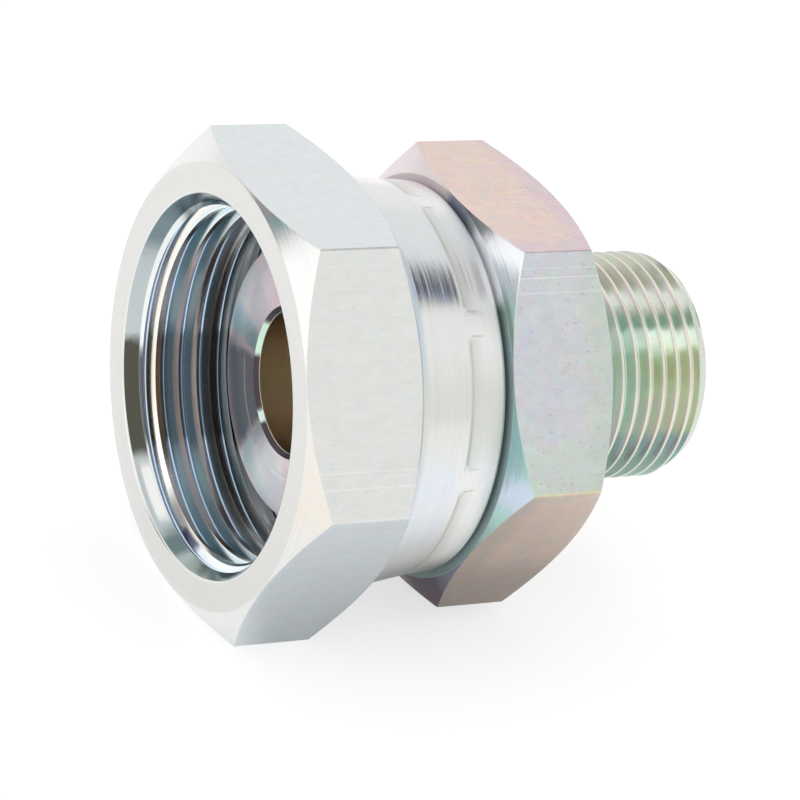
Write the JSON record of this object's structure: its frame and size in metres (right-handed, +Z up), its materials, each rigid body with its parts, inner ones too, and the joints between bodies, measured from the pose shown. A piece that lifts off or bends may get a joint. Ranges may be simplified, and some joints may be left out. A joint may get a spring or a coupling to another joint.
{
  "type": "male stud connector",
  "caption": "Straight hydraulic connector with a parallel male stud and a free-turning swivel nut held by a swaged collar.",
  "frame": {"origin": "on the axis of the flow bore, in the plane of the stud's seating shoulder", "axes": "+X along the flow bore towards the end of the stud, with the nut's mouth at -X; +Z up, square to a flat of each hexagon"},
  "size_m": [0.0582, 0.0578, 0.05],
  "materials": {
    "zinc_clear": "zinc plated and clear passivated, satin, with a faint blue cast",
    "zinc_passivated": "zinc plated and passivated, satin, with a faint green, lilac and straw sheen"
  },
  "bodies": {
    "connector_body": {"stud_body": "zinc_passivated"},
    "nut": {"swivel_nut": "zinc_clear"}
  },
  "joints": [
    {"name": "nut_spin", "type": "hinge", "parent": "connector_body", "child": "nut", "pos_m": [0, 0, 0], "axis": [1, 0, 0], "continuous": true}
  ]
}
